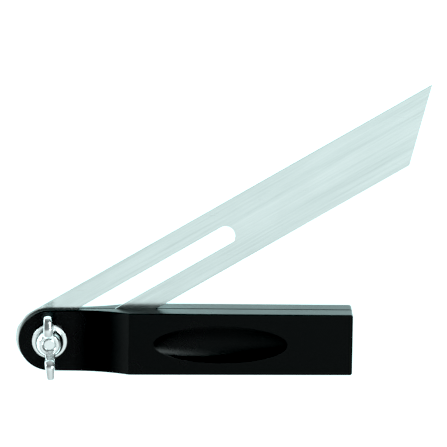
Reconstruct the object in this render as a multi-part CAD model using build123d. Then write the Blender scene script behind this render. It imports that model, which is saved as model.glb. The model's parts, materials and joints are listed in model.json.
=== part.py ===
from build123d import *
import math
import os

# A sliding T-bevel: a slotted steel blade that turns and slides on one bolt in the round head of a
# moulded handle, clamped by a wing nut. It lies on the back of its grip with the blade swung open.
#
# While it is modelled, the bolt's axis is x = y = 0, the handle runs along +X and the back of the grip
# is z = 0. move_to_footprint_centre() then puts the origin at the middle of the whole tool's footprint.
# Millimetres and degrees.

# Handle
GRIP_THICKNESS = 20.0
HEAD_THICKNESS = 7.6
HEAD_RADIUS = 15.55
SHOULDER_X = 43.3  # where the sides stop spreading and start to taper
SHOULDER_HALF_WIDTH = 15.85
BUTT_HALF_WIDTH = 15.55
BUTT_X = 150.4
BUTT_CORNER_RADIUS = 1.2
FLARE_START_X = 12.6
FLARE_END_X = 39.3
FACE_EDGE_RADIUS = 0.5
MID_Z = GRIP_THICKNESS / 2

# Finger dish on each face of the grip
DISH_X = 84.8
DISH_HALF_LENGTH = 33.2
DISH_HALF_WIDTH = 9.3
DISH_DEPTH = 2.0
DISH_RIM_RADIUS = 0.4

# Kerf for the blade, and the web along one side that joins the two halves behind it
KERF = 1.2
WEB_START_X = 41.0
WEB_TOP_Y = -11.9
PEG_RADIUS = 1.5
PEG_LENGTH = 3.0
PEG_CLEARANCE = 0.08
PEG_XS = (50.0, 96.0, 142.0)

# Hollows inside the grip, with ribs between them
WALL = 2.6
RIB = 2.0
POCKET_COUNT = 3
POCKET_START_X = 44.0
POCKET_CORNER_RADIUS = 1.5

# Blade
BLADE_WIDTH = 30.0
BLADE_THICKNESS = 1.0
BLADE_ANGLE = 30.65  # from the handle, as it lies
BLADE_REACH = 228.3  # from the bolt's axis to the tip, along the blade
BLADE_END_ANGLE = 45.0
BLADE_OFFSET = 1.65  # from the bolt's axis to the blade's centre line
TIP_RADIUS = 0.4
BLADE_EDGE_CHAMFER = 0.15
SLOT_WIDTH = 9.4
SLOT_START = -1.3  # the centre of the slot's round end, past the bolt's axis
SLOT_END = 102.0

# M6 hardware
BOLT_RADIUS = 3.0
BOLT_HEAD_RADIUS = 8.0
BOLT_HEAD_HEIGHT = 3.6
BOLT_END_CHAMFER = 0.6
NECK_WIDTH = 6.0
NECK_HEIGHT = 2.5
RUNNING_CLEARANCE = 0.05
HOLE_RADIUS = 3.3
WASHER_RADIUS = 8.7
WASHER_HOLE_RADIUS = 3.2
WASHER_THICKNESS = 1.5
WASHER_EDGE_RADIUS = 0.3
FRICTION_WASHER_RADIUS = 9.0
FRICTION_WASHER_THICKNESS = 0.5
FRICTION_WASHER_GAP = 0.05
RECESS_CLEARANCE = 0.2

# Wing nut
HUB_BASE_RADIUS = 7.2
HUB_TOP_RADIUS = 5.5
HUB_HEIGHT = 7.0
WING_SPAN = 33.4
NUT_HEIGHT = 17.3
CREST_RADIUS = 5.0
CREST_X = 10.8
CORNER_RADIUS = 2.5
CORNER_DROP = 0.4  # of the wing's outer corner below its crest
WING_ROOT_THICKNESS = 5.3
WING_TIP_THICKNESS = 3.8
WING_EDGE_RADIUS = 1.2
WING_ROOT_X = 3.8
WING_ROOT_LOW_Z = 1.2
WING_TURN = 3.0  # of the wings from the handle's crosswise direction
BOLT_END_BELOW_HUB = 0.4

HEAD_FACE = HEAD_THICKNESS / 2  # above the middle plane
GRIP_FACE = GRIP_THICKNESS / 2
NUT_BASE_Z = MID_Z + HEAD_FACE + WASHER_THICKNESS
BEYOND = 60.0  # how far a cutting solid runs past what it cuts
NEAR = 0.1  # how far off an edge may be and still be picked by its place


def handle_outline():
    """Face view of the handle: a round head that runs at a tangent into a long, slightly tapering grip."""
    to_shoulder = math.atan2(SHOULDER_HALF_WIDTH, SHOULDER_X)
    turn = to_shoulder + math.acos(HEAD_RADIUS / math.hypot(SHOULDER_X, SHOULDER_HALF_WIDTH))
    tangent_point = (HEAD_RADIUS * math.cos(turn), HEAD_RADIUS * math.sin(turn))
    side = [tangent_point, (SHOULDER_X, SHOULDER_HALF_WIDTH), (BUTT_X, BUTT_HALF_WIDTH)]
    far_side = [(x, -y) for x, y in side]
    head = ThreePointArc(far_side[0], (-HEAD_RADIUS, 0), side[0])
    face = make_face([Polyline(*side), Line(side[-1], far_side[-1]), Polyline(*far_side), head])
    return fillet(face.vertices().group_by(Axis.X)[-1], BUTT_CORNER_RADIUS)


def flare_cut():
    """What is taken off above the head: flat over the round head, then a concave sweep up to the grip."""
    low = (FLARE_START_X, HEAD_FACE)
    high = (FLARE_END_X, GRIP_FACE)
    sweep_up = TangentArc(low, high, tangent=(1, 0))
    above = GRIP_FACE + 1
    rest = Polyline(high, (FLARE_END_X, above), (-BEYOND, above), (-BEYOND, HEAD_FACE), low)
    return extrude(Plane.XZ * make_face([sweep_up, rest]), BEYOND, both=True)


def dish():
    """Ellipsoid that cuts the finger dish, centred above the face so that it meets it at a crisp rim."""
    height = 2 * DISH_DEPTH
    centre_above = height - DISH_DEPTH
    spread = 1 / math.sqrt(1 - (centre_above / height) ** 2)
    semi_axes = (DISH_HALF_LENGTH * spread, DISH_HALF_WIDTH * spread, height)
    return Pos(DISH_X, 0, GRIP_FACE + centre_above) * scale(Sphere(1), by=semi_axes)


def kerf_cut():
    """Half of the blade's kerf: the whole handle but the web."""
    half = KERF / 2
    slab = Pos(BEYOND, 0, half / 2) * Box(2 * BUTT_X, BEYOND, half)
    web_length = BUTT_X + BEYOND - WEB_START_X
    web_middle = WEB_START_X + web_length / 2
    web = Pos(web_middle, WEB_TOP_Y - BEYOND / 2, 0) * Box(web_length, BEYOND, 4 * half)
    return slab - web


def pockets():
    """Hollows in the grip, open to the kerf, with a full wall left under the dish."""
    low_y = WEB_TOP_Y
    high_y = BUTT_HALF_WIDTH - WALL
    room = BUTT_X - WALL - POCKET_START_X
    length = (room - RIB * (POCKET_COUNT - 1)) / POCKET_COUNT
    depth = GRIP_FACE - DISH_DEPTH - WALL
    hollows = []
    for i in range(POCKET_COUNT):
        middle = POCKET_START_X + length / 2 + i * (length + RIB)
        shape = RectangleRounded(length, high_y - low_y, POCKET_CORNER_RADIUS)
        hollows.append(extrude(Pos(middle, (low_y + high_y) / 2) * shape, depth))
    return hollows


def handle_half():
    """One moulded half, its middle plane at z = 0 and its outer face up."""
    blank = extrude(handle_outline(), GRIP_FACE, dir=(0, 0, 1)) - flare_cut()
    outer_edges = blank.edges().filter_by(lambda e: e.bounding_box().min.Z > HEAD_FACE - NEAR)
    blank = fillet(outer_edges, FACE_EDGE_RADIUS) - dish()
    dish_rim = blank.edges().filter_by(GeomType.BSPLINE).sort_by(SortBy.LENGTH)[-1]
    blank = fillet(dish_rim, DISH_RIM_RADIUS)
    recess_top = BLADE_THICKNESS / 2 + FRICTION_WASHER_THICKNESS + 2 * FRICTION_WASHER_GAP
    recess_radius = FRICTION_WASHER_RADIUS + RECESS_CLEARANCE
    recess = Pos(0, 0, recess_top / 2) * Cylinder(recess_radius, recess_top)
    return blank - kerf_cut() - recess - pockets()


def peg(radius, length):
    """Row of locating pegs, or their sockets, centred in the web's thickness."""
    web_middle_y = (WEB_TOP_Y - BUTT_HALF_WIDTH) / 2
    places = [Pos(x, web_middle_y, 0) for x in PEG_XS]
    return [place * Cylinder(radius, 2 * length) for place in places]


def handle_front_half():
    hole = Cylinder(HOLE_RADIUS, BEYOND)
    half = handle_half() - hole
    below = Pos(BUTT_X / 2, 0, -BEYOND / 2) * Box(2 * BUTT_X, BEYOND, BEYOND)
    pegs = [p & below for p in peg(PEG_RADIUS, PEG_LENGTH)]
    return Pos(0, 0, MID_Z) * (half + pegs)


def handle_back_half():
    square_hole = Box(NECK_WIDTH + 2 * RUNNING_CLEARANCE, NECK_WIDTH + 2 * RUNNING_CLEARANCE, BEYOND)
    half = handle_half() - square_hole
    half = half - peg(PEG_RADIUS + PEG_CLEARANCE, PEG_LENGTH + 2 * PEG_CLEARANCE)
    return Pos(0, 0, MID_Z) * mirror(half, about=Plane.XY)


def pivot_bolt():
    """Mushroom head and square neck at the back, plain shank, end just below the top of the nut's hub."""
    head_z = MID_Z - HEAD_FACE
    end_z = NUT_BASE_Z + HUB_HEIGHT - BOLT_END_BELOW_HUB
    crown = TangentArc((0, -BOLT_HEAD_HEIGHT), (BOLT_HEAD_RADIUS, 0), tangent=(1, 0))
    flat = Polyline((BOLT_HEAD_RADIUS, 0), (0, 0), (0, -BOLT_HEAD_HEIGHT))
    head = revolve(Plane.XZ * make_face([crown, flat]), Axis.Z)
    neck = Pos(0, 0, NECK_HEIGHT / 2) * Box(NECK_WIDTH, NECK_WIDTH, NECK_HEIGHT)
    length = end_z - head_z
    shank = Pos(0, 0, length / 2) * Cylinder(BOLT_RADIUS, length)
    shank = chamfer(shank.edges().group_by(Axis.Z)[-1], BOLT_END_CHAMFER)
    return Pos(0, 0, head_z) * (head + neck + shank)


def ring(radius, hole_radius, thickness, base_z):
    washer = Cylinder(radius, thickness) - Cylinder(hole_radius, thickness)
    return Pos(0, 0, base_z + thickness / 2) * washer


def friction_washer(side):
    """Thin washer between the blade and a cheek: side is 1 in front of the blade, -1 behind it."""
    near = BLADE_THICKNESS / 2 + FRICTION_WASHER_GAP
    base = near if side > 0 else -near - FRICTION_WASHER_THICKNESS
    hole = BOLT_RADIUS + RUNNING_CLEARANCE
    return ring(FRICTION_WASHER_RADIUS, hole, FRICTION_WASHER_THICKNESS, MID_Z + base)


def blade():
    """Round end at the bolt, long slot, end cut at an angle. Its own +X runs from the bolt to the tip."""
    half = BLADE_WIDTH / 2
    cut_back = BLADE_WIDTH / math.tan(math.radians(BLADE_END_ANGLE))
    tip = (BLADE_REACH, half)
    heel = (BLADE_REACH - cut_back, -half)
    edges = Polyline((SLOT_START, half), tip, heel, (SLOT_START, -half))
    round_end = ThreePointArc((SLOT_START, -half), (SLOT_START - half, 0), (SLOT_START, half))
    face = make_face([edges, round_end])
    face = fillet(face.vertices().group_by(Axis.X)[-1] + face.vertices().group_by(Axis.X)[-2], TIP_RADIUS)
    slot = Pos((SLOT_START + SLOT_END) / 2, 0) * SlotCenterToCenter(SLOT_END - SLOT_START, SLOT_WIDTH)
    plate = extrude(face - slot, BLADE_THICKNESS / 2, both=True)
    rims = plate.faces().filter_by(Axis.Z).edges()
    plate = chamfer(rims, BLADE_EDGE_CHAMFER)
    return Pos(0, 0, MID_Z) * Rot(0, 0, BLADE_ANGLE) * Pos(0, BLADE_OFFSET, 0) * plate


def flat_washer():
    washer = ring(WASHER_RADIUS, WASHER_HOLE_RADIUS, WASHER_THICKNESS, MID_Z + HEAD_FACE)
    rims = washer.edges().filter_by(GeomType.CIRCLE).filter_by(lambda e: e.radius > WASHER_HOLE_RADIUS + 1)
    return fillet(rims, WASHER_EDGE_RADIUS)


def wing():
    """One ear of the nut, on its +X side: it stands up and out from the hub and thins towards its tip."""
    tip_x = WING_SPAN / 2
    crest = Pos(CREST_X, NUT_HEIGHT - CREST_RADIUS) * Circle(CREST_RADIUS)
    corner = Pos(tip_x - CORNER_RADIUS, NUT_HEIGHT - CORNER_DROP - CORNER_RADIUS) * Circle(CORNER_RADIUS)
    root = Line((WING_ROOT_X, WING_ROOT_LOW_Z), (WING_ROOT_X, HUB_HEIGHT))
    side_view = make_hull(crest.edges() + corner.edges() + [root])
    ear = extrude(Plane.XZ * side_view, WING_ROOT_THICKNESS, both=True)
    root_y = WING_ROOT_THICKNESS / 2
    tip_y = WING_TIP_THICKNESS / 2
    root_end = Line((WING_ROOT_X, root_y), (WING_ROOT_X, -root_y))
    taper = Polyline((WING_ROOT_X, -root_y), (tip_x, -tip_y), (tip_x, tip_y), (WING_ROOT_X, root_y))
    ear = ear & extrude(make_face([taper, root_end]), NUT_HEIGHT)
    beyond_root = ear.edges().filter_by(lambda e: e.center().X > WING_ROOT_X + NEAR)
    rims = beyond_root.filter_by(lambda e: abs(e.center().Y) > tip_y - NEAR)
    return fillet(rims, WING_EDGE_RADIUS)


def wing_nut():
    hub = Pos(0, 0, HUB_HEIGHT / 2) * Cone(HUB_BASE_RADIUS, HUB_TOP_RADIUS, HUB_HEIGHT)
    ears = [Rot(0, 0, 90 + WING_TURN + turn) * wing() for turn in (0, 180)]
    nut = hub + ears - Cylinder(BOLT_RADIUS + RUNNING_CLEARANCE, BEYOND)
    return Pos(0, 0, NUT_BASE_Z) * nut


def move_to_footprint_centre(parts):
    """The parts with their origin at the middle of the tool's footprint, and where that puts the bolt."""
    box = Compound(children=[Compound(part.solids()) for part in parts.values()]).bounding_box()
    shift = Pos(-box.center().X, -box.center().Y, 0)
    return {name: shift * part for name, part in parts.items()}, shift.position


PARTS = {
    "handle_front_half": handle_front_half(),
    "handle_back_half": handle_back_half(),
    "pivot_bolt": pivot_bolt(),
    "friction_washer_front": friction_washer(1),
    "friction_washer_back": friction_washer(-1),
    "blade": blade(),
    "flat_washer": flat_washer(),
    "wing_nut": wing_nut(),
}

placed, bolt_axis = move_to_footprint_centre(PARTS)
print(f"bolt axis at x {bolt_axis.X:.4f}, y {bolt_axis.Y:.4f}")
os.makedirs("parts", exist_ok=True)
for name, part in placed.items():
    export_step(part, f"parts/{name}.step")
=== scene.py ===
import json
import math

import bmesh
import bpy
from mathutils import Matrix, Vector


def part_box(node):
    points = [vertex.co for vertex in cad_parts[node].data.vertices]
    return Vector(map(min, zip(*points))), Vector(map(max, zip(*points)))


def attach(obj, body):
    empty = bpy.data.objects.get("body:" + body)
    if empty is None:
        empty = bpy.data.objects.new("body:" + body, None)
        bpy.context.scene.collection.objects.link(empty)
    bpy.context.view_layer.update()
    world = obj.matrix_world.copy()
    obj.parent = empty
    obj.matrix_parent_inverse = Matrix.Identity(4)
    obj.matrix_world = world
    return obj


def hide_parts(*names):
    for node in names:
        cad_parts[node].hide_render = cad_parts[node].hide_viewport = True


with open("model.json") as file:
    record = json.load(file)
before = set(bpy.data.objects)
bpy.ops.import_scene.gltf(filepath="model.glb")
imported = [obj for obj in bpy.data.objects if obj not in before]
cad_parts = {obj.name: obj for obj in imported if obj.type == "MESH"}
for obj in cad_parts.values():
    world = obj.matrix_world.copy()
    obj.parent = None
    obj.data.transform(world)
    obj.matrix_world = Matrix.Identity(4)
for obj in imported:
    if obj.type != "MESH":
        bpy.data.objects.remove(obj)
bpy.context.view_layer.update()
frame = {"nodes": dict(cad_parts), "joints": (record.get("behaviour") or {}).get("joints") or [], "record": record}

# A sliding T-bevel lying on the back of its grip: a slotted steel blade, a black moulded handle, and a
# plated wing nut, washer and bolt. The handle runs along +X from its round head, and the bolt's axis
# points along +Z. Lengths are in metres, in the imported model's frame.

MM = 0.001

JOINTS = {joint["name"]: joint for joint in frame["joints"]}
PIVOT = Vector(JOINTS["blade_swing"]["pos_m"])
BLADE_DIRECTION = Vector(JOINTS["blade_slide"]["axis"])
BLADE_ANGLE = math.atan2(BLADE_DIRECTION.y, BLADE_DIRECTION.x)
WASHER_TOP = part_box("flat_washer")[1].z
BOLT_LOW, BOLT_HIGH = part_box("pivot_bolt")


# Materials ----------------------------------------------------------------------------------------------

SCRATCH_SLANT = 0.6  # radians between the blade's brushing and its stray scratches


class Graph:
    """A material's node tree, with one method for each kind of node that the materials here use."""

    def __init__(self, name, **principled):
        self.material = bpy.data.materials.new(name)
        self.material.use_nodes = True
        self.tree = self.material.node_tree
        self.surface = self.tree.nodes["Principled BSDF"]
        for socket, value in principled.items():
            self.surface.inputs[socket.replace("_", " ")].default_value = value

    def node(self, kind, inputs=None, **settings):
        made = self.tree.nodes.new(kind)
        for name, value in settings.items():
            setattr(made, name, value)
        for name, value in (inputs or {}).items():
            if isinstance(value, bpy.types.NodeSocket):
                self.tree.links.new(value, made.inputs[name])
            else:
                made.inputs[name].default_value = value
        return made

    def place(self, scale=(1, 1, 1), turn=0.0):
        """The piece's own coordinates in metres, turned about Z and then stretched."""
        own = self.node("ShaderNodeTexCoord").outputs["Object"]
        turned = self.node("ShaderNodeMapping", {"Vector": own, "Rotation": (0, 0, turn)}).outputs[0]
        return self.node("ShaderNodeMapping", {"Vector": turned, "Scale": scale}).outputs[0]

    def noise(self, where, scale, detail=2.0, roughness=0.5):
        settings = {"Vector": where, "Scale": scale, "Detail": detail, "Roughness": roughness}
        return self.node("ShaderNodeTexNoise", settings).outputs["Fac"]

    def ramp(self, value, *stops):
        """A colour ramp with (position, colour) stops. A colour is a grey level or three numbers."""
        ramp = self.node("ShaderNodeValToRGB", {"Fac": value})
        colours = [(level,) * 3 if isinstance(level, (int, float)) else level for _, level in stops]
        set_stops(ramp, [position for position, _ in stops], colours)
        return ramp.outputs["Color"]

    def math(self, operation, *values):
        return self.node("ShaderNodeMath", dict(enumerate(values)), operation=operation).outputs[0]

    def bump(self, height, distance, strength=1.0, onto=None):
        settings = {"Height": height, "Distance": distance, "Strength": strength}
        if onto is not None:
            settings["Normal"] = onto
        return self.node("ShaderNodeBump", settings).outputs["Normal"]

    def connect(self, **sockets):
        for name, value in sockets.items():
            self.tree.links.new(value, self.surface.inputs[name.replace("_", " ")])
        return self.material


def set_stops(ramp, positions, colours):
    elements = ramp.color_ramp.elements
    while len(elements) < len(positions):
        elements.new(0.5)
    for element, position, colour in zip(elements, positions, colours):
        element.position = position
        element.color = (*colour, 1)


def black_plastic():
    """Moulded black ABS: a fine satin grain, faint flow clouds and a few light scuffs."""
    graph = Graph("black_plastic", Specular_IOR_Level=0.42)
    here = graph.place()
    clouds = graph.noise(here, 35, detail=4)
    grain = graph.noise(here, 2600, detail=2)
    scuffs = graph.noise(graph.place(scale=(60, 900, 400), turn=0.5), 1, detail=5, roughness=0.7)
    colour = graph.ramp(clouds, (0.3, (0.0036, 0.0052, 0.0054)), (0.75, (0.0060, 0.0082, 0.0084)))
    sheen = graph.ramp(clouds, (0.3, 0.26), (0.7, 0.32))
    rubbed = graph.ramp(scuffs, (0.62, 0.0), (0.80, 0.06))
    roughness = graph.math("ADD", sheen, rubbed)
    normal = graph.bump(grain, 0.004 * MM, 0.5)
    return graph.connect(Base_Color=colour, Roughness=roughness, Normal=normal)


def blade_steel():
    """Steel strip brushed along its length, with crossing hairline scratches and a faint cool tint."""
    graph = Graph("blade_steel", Metallic=1.0)
    lengthwise = -BLADE_ANGLE
    brushing = graph.noise(graph.place((14, 2600, 60), lengthwise), 1, detail=3, roughness=0.6)
    broad = graph.noise(graph.place((9, 160, 10), lengthwise), 1, detail=3)
    grime = graph.noise(graph.place((22, 420, 22), lengthwise), 1, detail=4, roughness=0.65)
    scratch = graph.noise(graph.place((40, 1500, 60), lengthwise + SCRATCH_SLANT), 1, detail=2)
    cloud = graph.noise(graph.place(), 30, detail=4, roughness=0.6)
    streaks = graph.math(
        "ADD", graph.math("MULTIPLY", brushing, 0.40), graph.math("MULTIPLY", broad, 0.25)
    )
    tone = graph.math("ADD", streaks, graph.math("MULTIPLY", grime, 0.35))
    colour = graph.ramp(
        tone, (0.34, (0.66, 0.73, 0.72)), (0.48, (0.77, 0.84, 0.83)), (0.64, (0.84, 0.90, 0.89))
    )
    worn = graph.ramp(cloud, (0.35, 0.20), (0.70, 0.27))
    hairline = graph.ramp(scratch, (0.70, 0.0), (0.76, 0.12))
    roughness = graph.math("ADD", worn, hairline)
    normal = graph.bump(brushing, 0.003 * MM, 0.6)
    return graph.connect(Base_Color=colour, Roughness=roughness, Normal=normal)


def plated_steel():
    """Bright zinc plating over cast and pressed steel: slightly uneven, with small dull spots."""
    graph = Graph("plated_steel", Metallic=1.0)
    here = graph.place()
    cloud = graph.noise(here, 260, detail=4, roughness=0.6)
    pits = graph.noise(here, 1500, detail=3)
    colour = graph.ramp(cloud, (0.30, (0.90, 0.94, 0.94)), (0.70, (0.97, 0.99, 0.99)))
    roughness = graph.ramp(cloud, (0.30, 0.14), (0.72, 0.26))
    normal = graph.bump(pits, 0.02 * MM, 0.5, onto=graph.bump(cloud, 0.08 * MM, 0.6))
    return graph.connect(Base_Color=colour, Roughness=roughness, Normal=normal)


def nylon():
    """Natural nylon of the hidden friction washers."""
    graph = Graph("nylon", Subsurface_Weight=0.1)
    cloud = graph.noise(graph.place(), 400, detail=3)
    colour = graph.ramp(cloud, (0.35, (0.72, 0.70, 0.62)), (0.70, (0.80, 0.78, 0.72)))
    roughness = graph.ramp(cloud, (0.35, 0.42), (0.70, 0.55))
    return graph.connect(Base_Color=colour, Roughness=roughness)


MATERIALS = {make.__name__: make() for make in (black_plastic, blade_steel, plated_steel, nylon)}


def finish_cad_node(node, slot):
    mesh = frame["nodes"][node].data
    mesh.materials.clear()
    mesh.materials.append(MATERIALS[slot])


for subpart in frame["record"]["subparts"]:
    finish_cad_node(subpart["node"], subpart["material_slot"])


# Wing nut and bolt --------------------------------------------------------------------------------------

HUB_RADIUS = 7.1 * MM
HUB_HEIGHT = 7.0 * MM
HUB_SHOULDER = [(7.1, 1.0), (7.05, 2.4), (6.85, 3.8), (6.45, 5.0), (5.9, 6.0), (5.3, 6.7), (4.8, 7.0)]
BORE_RADIUS = 3.06 * MM
COUNTERSINK_RADIUS = 3.65 * MM

WING_TURN = math.radians(93.0)
WING_ROOT = 4.0 * MM  # from the nut's axis
WING_LENGTH = 12.6 * MM
WING_ROOT_HALF_THICKNESS = 2.65 * MM
WING_TAPER = 0.75 * MM  # taken from the half thickness over the wing's length
WING_RIM = [(0.0, 1.0), (0.42, 0.99), (0.72, 0.955), (0.92, 0.90), (1.0, 0.84)]

CAST_VOXEL = 0.28 * MM
CAST_SMOOTHING_PASSES = 6
CUT_ABOVE = 0.3 * MM
CUT_BELOW = 0.5 * MM
BASE_CUT = 0.02 * MM
BASE_CUTTER_RADIUS = 30 * MM

BOLT_RADIUS = 3.0 * MM
PITCH = 1.0 * MM
THREAD_DEPTH = 0.5 * MM
THREAD_FLAT = 0.12  # the part of the pitch that is level at the crest, and again at the root
THREAD_CHAMFER = 0.55 * MM
THREAD_STEPS = 10  # rows of vertices in one pitch
THREAD_IN_NECK = 0.3 * MM
BOLT_END_GAP = 0.01 * MM

HEAD_RADIUS = 8.0 * MM
HEAD_HEIGHT = 3.6 * MM
HEAD_RIM = 0.25 * MM
DOME_STEPS = 14
NECK_WIDTH = 5.98 * MM
NECK_HEIGHT = 2.5 * MM
NECK_CORNER = 0.35 * MM


def lathe(profile, segments=96):
    """Closed solid turned about Z from (radius, height) points. A profile that starts and ends on the
    axis is closed there, and any other is a ring."""
    mesh = bmesh.new()
    on_axis = profile[0][0] == 0
    rows = []
    for radius, height in profile:
        if radius == 0:
            rows.append([mesh.verts.new((0, 0, height))] * segments)
            continue
        angles = [2 * math.pi * i / segments for i in range(segments)]
        rows.append([mesh.verts.new((radius * math.cos(a), radius * math.sin(a), height)) for a in angles])
    pairs = list(zip(rows, rows[1:])) + ([] if on_axis else [(rows[-1], rows[0])])
    for below, above in pairs:
        for i in range(segments):
            j = (i + 1) % segments
            corners = [below[i], below[j], above[j], above[i]]
            mesh.faces.new(list(dict.fromkeys(corners)))
    bmesh.ops.recalc_face_normals(mesh, faces=mesh.faces)
    return mesh


def arc(centre, radius, start, end, steps):
    """Points along an arc, its angles in degrees."""
    angles = [math.radians(start + (end - start) * i / steps) for i in range(steps + 1)]
    return [(centre[0] + radius * math.cos(a), centre[1] + radius * math.sin(a)) for a in angles]


def skin(mesh, rings):
    """Faces from each ring of vertices to the next, and one at either end."""
    count = len(rings[0])
    for near, far in zip(rings, rings[1:]):
        for i in range(count):
            j = (i + 1) % count
            mesh.faces.new((near[i], near[j], far[j], far[i]))
    mesh.faces.new(list(reversed(rings[0])))
    mesh.faces.new(rings[-1])


def new_object(name, mesh):
    data = bpy.data.meshes.new(name)
    mesh.to_mesh(data)
    mesh.free()
    made = bpy.data.objects.new(name, data)
    bpy.context.scene.collection.objects.link(made)
    return made


def apply_modifiers(piece):
    """Leaves the piece with the mesh that its modifiers give."""
    evaluated = piece.evaluated_get(bpy.context.evaluated_depsgraph_get())
    result = bpy.data.meshes.new_from_object(evaluated)
    piece.modifiers.clear()
    piece.data = result


def shade(piece, slot, smooth_under=35):
    """Smooth shading that keeps the creases sharper than smooth_under degrees, and the slot's material."""
    mesh = bmesh.new()
    mesh.from_mesh(piece.data)
    for face in mesh.faces:
        face.smooth = True
    for edge in mesh.edges:
        edge.smooth = edge.calc_face_angle(0) < math.radians(smooth_under)
    mesh.to_mesh(piece.data)
    mesh.free()
    piece.data.materials.clear()
    piece.data.materials.append(MATERIALS[slot])


def wing_outline():
    """Side view of one wing as (out, up) points: a broad rounded crest, a tighter outer corner, and a
    sweep back under it to the hub."""
    crest = arc((9.6, 12.25), 4.9, 148, 78, 14)
    corner = arc((14.0, 13.5), 2.6, 72, -28, 12)
    underside = [(14.9, 10.6), (12.6, 7.2), (9.6, 4.2), (6.4, 1.9), (4.6, 1.3)]
    inside = [(4.2, 6.2), (5.0, 7.6), (5.8, 10.4)]
    return [(x * MM, z * MM) for x, z in crest + corner + underside + inside]


def add_wing(mesh, turn):
    """One wing of the nut in the mesh, thick at the hub and thinner at its tip. WING_RIM rounds its edge:
    at each part of the half thickness, how far the outline has shrunk toward its middle."""
    outline = wing_outline()
    middle = Vector((sum(x for x, _ in outline), sum(z for _, z in outline))) / len(outline)
    sides = [(-offset, inset) for offset, inset in reversed(WING_RIM)] + WING_RIM[1:]
    rotation = Matrix.Rotation(turn, 4, "Z")
    rings = []
    for offset, inset in sides:
        ring = []
        for x, z in outline:
            out, up = middle + (Vector((x, z)) - middle) * inset
            half_thickness = WING_ROOT_HALF_THICKNESS - WING_TAPER * (x - WING_ROOT) / WING_LENGTH
            ring.append(mesh.verts.new(rotation @ Vector((out, half_thickness * offset, up))))
        rings.append(ring)
    skin(mesh, rings)


def make_wing_nut():
    """Cast nut: a tapering hub that runs into two wings, then a bored and countersunk thread hole."""
    shoulder = [(radius * MM, height * MM) for radius, height in HUB_SHOULDER]
    mesh = lathe([(0, 0), (HUB_RADIUS, 0)] + shoulder + [(0, HUB_HEIGHT)])
    add_wing(mesh, WING_TURN)
    add_wing(mesh, WING_TURN + math.pi)
    bmesh.ops.recalc_face_normals(mesh, faces=mesh.faces)
    nut = new_object("cast_wing_nut", mesh)
    cast = nut.modifiers.new("cast", "REMESH")
    cast.mode = "VOXEL"
    cast.voxel_size = CAST_VOXEL
    soften = nut.modifiers.new("soften", "SMOOTH")
    soften.factor = 0.5
    soften.iterations = CAST_SMOOTHING_PASSES
    apply_modifiers(nut)

    low = -CUT_BELOW
    top = HUB_HEIGHT + CUT_ABOVE
    flare = COUNTERSINK_RADIUS + CUT_ABOVE
    seat = HUB_HEIGHT - (COUNTERSINK_RADIUS - BORE_RADIUS)
    bore = lathe([(0, low), (BORE_RADIUS, low), (BORE_RADIUS, seat), (flare, top), (0, top)], segments=72)
    base = lathe(
        [(0, low), (BASE_CUTTER_RADIUS, low), (BASE_CUTTER_RADIUS, BASE_CUT), (0, BASE_CUT)], segments=32
    )
    cutters = [new_object("bore_cutter", bore), new_object("base_cutter", base)]
    for cutter in cutters:
        cut = nut.modifiers.new("cut", "BOOLEAN")
        cut.operation = "DIFFERENCE"
        cut.solver = "EXACT"
        cut.object = cutter
    apply_modifiers(nut)
    for cutter in cutters:
        bpy.data.objects.remove(cutter)
    nut.data.transform(Matrix.Translation((PIVOT.x, PIVOT.y, WASHER_TOP)))
    shade(nut, "plated_steel", smooth_under=42)
    return nut


def add_thread(mesh, low, high, segments=72):
    """A threaded rod about Z as one closed skin, its upper end chamfered to the root of the thread."""
    steps = round((high - low) / (PITCH / THREAD_STEPS))
    rings = []
    for k in range(steps + 1):
        z = low + (high - low) * k / steps
        chamfer = max(0.0, THREAD_CHAMFER - (high - z))
        ring = []
        for i in range(segments):
            phase = (z / PITCH - i / segments) % 1
            flank = (abs(phase - 0.5) * 2 - THREAD_FLAT) / (1 - 2 * THREAD_FLAT)
            cut = THREAD_DEPTH * max(0.0, min(1.0, flank))
            radius = BOLT_RADIUS - max(cut, chamfer)
            angle = 2 * math.pi * i / segments
            ring.append(mesh.verts.new((radius * math.cos(angle), radius * math.sin(angle), z)))
        rings.append(ring)
    skin(mesh, rings)


def make_bolt():
    """Carriage bolt: a domed head at the back, a square neck, and a threaded shank that ends in the nut."""
    head_face = BOLT_LOW.z + HEAD_HEIGHT
    dome = [(0, BOLT_LOW.z)]
    for i in range(1, DOME_STEPS + 1):
        angle = math.pi / 2 * i / DOME_STEPS
        drop = HEAD_RIM + (HEAD_HEIGHT - HEAD_RIM) * math.cos(angle)
        dome.append((HEAD_RADIUS * math.sin(angle), head_face - drop))
    mesh = lathe(dome + [(HEAD_RADIUS, head_face), (0, head_face)])
    neck = bmesh.ops.create_cube(mesh, size=1)["verts"]
    place = Matrix.Translation((0, 0, head_face + NECK_HEIGHT / 2))
    size = Matrix.Diagonal((NECK_WIDTH, NECK_WIDTH, NECK_HEIGHT, 1))
    bmesh.ops.transform(mesh, matrix=place @ size, verts=neck)
    edges = dict.fromkeys(edge for vert in neck for edge in vert.link_edges)
    upright = [edge for edge in edges if abs(edge.verts[0].co.z - edge.verts[1].co.z) > NECK_HEIGHT / 2]
    bmesh.ops.bevel(mesh, geom=upright, offset=NECK_CORNER, segments=3, affect="EDGES", profile=0.5)
    add_thread(mesh, head_face + NECK_HEIGHT - THREAD_IN_NECK, BOLT_HIGH.z - BOLT_END_GAP)
    bolt = new_object("threaded_bolt", mesh)
    bolt.data.transform(Matrix.Translation((PIVOT.x, PIVOT.y, 0)))
    shade(bolt, "plated_steel")
    return bolt


wing_nut = make_wing_nut()
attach(wing_nut, "nut")
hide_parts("wing_nut")

bolt = make_bolt()
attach(bolt, "handle")
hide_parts("pivot_bolt")


# Floor, lights and camera -------------------------------------------------------------------------------

FLOOR_HALF_WIDTH = 8.0
FLOOR_GAP = 0.02 * MM

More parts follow.
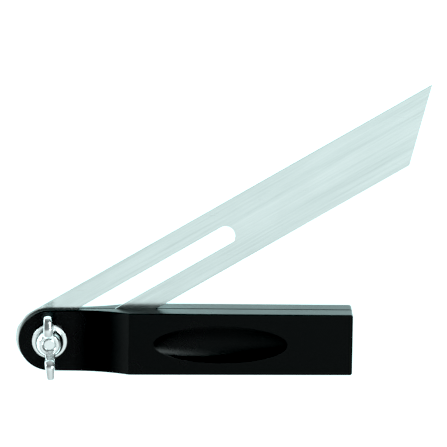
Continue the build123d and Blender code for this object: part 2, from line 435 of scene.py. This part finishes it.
# The studio's brightness, each stop's position running from -1 to 1 along its axis as 0 to 1.
SKY_ACROSS_Y = [
    (0.0, 0.7), (0.22, 0.84), (0.37, 0.98), (0.44, 0.92), (0.52, 0.52),
    (0.62, 0.12), (0.75, 0.16), (0.86, 0.40), (1.0, 0.55),
]
SKY_ALONG_X = [
    (0.0, 1.7), (0.12, 1.1), (0.25, 0.64), (0.42, 0.78),
    (0.50, 1.0), (0.58, 1.0), (0.70, 0.5), (1.0, 0.4),
]
SKY_TINT = (0.90, 1, 1)
LIGHT_TINT = (0.86, 1.0, 1.0)

PICTURE_PIXELS = 447
FOCAL_PIXELS = 4621.6
CAMERA_TILT = math.radians(14.079)
CAMERA_YAW = math.radians(-1.416)
CAMERA_ROLL = math.radians(0.648)
CAMERA_DISTANCE = 2.287
LOOK_AT = PIVOT + Vector((85.844, 59.519, 0)) * MM

BLACK_LEVEL = (0.0245, 0.0280, 0.0280)


def make_floor():
    """A white floor just under the tool, lit from within so that it stays white where the tool shades it."""
    side = FLOOR_HALF_WIDTH
    corners = [(-side, -side, 0), (side, -side, 0), (side, side, 0), (-side, side, 0)]
    mesh = bpy.data.meshes.new("floor")
    mesh.from_pydata([Vector(corner) - Vector((0, 0, FLOOR_GAP)) for corner in corners], [], [(0, 1, 2, 3)])
    floor = bpy.data.objects.new("floor", mesh)
    bpy.context.scene.collection.objects.link(floor)
    graph = Graph(
        "floor_white",
        Base_Color=(0.75, 0.9, 0.9, 1),
        Roughness=0.9,
        Emission_Color=(0.74, 1, 1, 1),
        Emission_Strength=1.15,
    )
    mesh.materials.append(graph.material)


def area_light(name, position, target, size, power):
    data = bpy.data.lights.new(name, "AREA")
    data.shape = "RECTANGLE"
    data.size, data.size_y = size
    data.energy = power
    data.color = LIGHT_TINT
    light = bpy.data.objects.new(name, data)
    light.location = position
    light.rotation_euler = (Vector(target) - Vector(position)).to_track_quat("-Z", "Y").to_euler()
    bpy.context.scene.collection.objects.link(light)


def make_world():
    """A studio whose brightness is one falloff across Y times another along X: brightest at its -X end,
    bright overhead and toward -Y, darkest high on the +Y side, and fair again low on that side."""
    world = bpy.data.worlds.new("studio")
    world.use_nodes = True
    tree = world.node_tree
    background = tree.nodes["Background"]
    direction = tree.nodes.new("ShaderNodeTexCoord").outputs["Generated"]
    split = tree.nodes.new("ShaderNodeSeparateXYZ")
    tree.links.new(direction, split.inputs[0])

    def falloff(axis, stops, socket, tint=(1, 1, 1)):
        span = tree.nodes.new("ShaderNodeMapRange")
        tree.links.new(split.outputs[axis], span.inputs["Value"])
        span.inputs["From Min"].default_value = -1.0
        ramp = tree.nodes.new("ShaderNodeValToRGB")
        tree.links.new(span.outputs["Result"], ramp.inputs["Fac"])
        colours = [[level * part for part in tint] for _, level in stops]
        set_stops(ramp, [position for position, _ in stops], colours)
        tree.links.new(ramp.outputs["Color"], socket)

    falloff("Y", SKY_ACROSS_Y, background.inputs["Color"], tint=SKY_TINT)
    falloff("X", SKY_ALONG_X, background.inputs["Strength"])
    bpy.context.scene.world = world


def make_camera():
    """Long lens, almost straight down on the tool, leaning toward the side that the blade opens to."""
    level = math.cos(CAMERA_TILT)
    back = Vector((math.sin(CAMERA_YAW) * level, math.sin(CAMERA_TILT), math.cos(CAMERA_YAW) * level))
    right = Vector((0, 1, 0)).cross(back).normalized()
    up = back.cross(right)
    rolled_right = right * math.cos(CAMERA_ROLL) + up * math.sin(CAMERA_ROLL)
    rolled_up = up * math.cos(CAMERA_ROLL) - right * math.sin(CAMERA_ROLL)
    data = bpy.data.cameras.new("camera")
    data.sensor_width = 36
    data.lens = FOCAL_PIXELS * data.sensor_width / PICTURE_PIXELS
    data.clip_end = 50
    camera = bpy.data.objects.new("camera", data)
    axes = Matrix((rolled_right, rolled_up, back)).transposed()
    camera.matrix_world = Matrix.Translation(LOOK_AT + back * CAMERA_DISTANCE) @ axes.to_4x4()
    bpy.context.scene.collection.objects.link(camera)
    bpy.context.scene.camera = camera


def grade():
    """Plain sRGB with the blacks pulled down, as in a product photograph."""
    settings = bpy.context.scene.view_settings
    settings.view_transform = "Standard"
    settings.use_curve_mapping = True
    settings.curve_mapping.black_level = BLACK_LEVEL
    settings.curve_mapping.update()


make_floor()
make_world()
area_light("softbox_left", (-1.4, 0.5, 0.45), (0, 0, 0), (0.5, 1.0), 7)
area_light("softbox_overhead", (0.62, 0.30, 1.85), (0, 0, 0), (0.40, 0.8), 5)
make_camera()
grade()
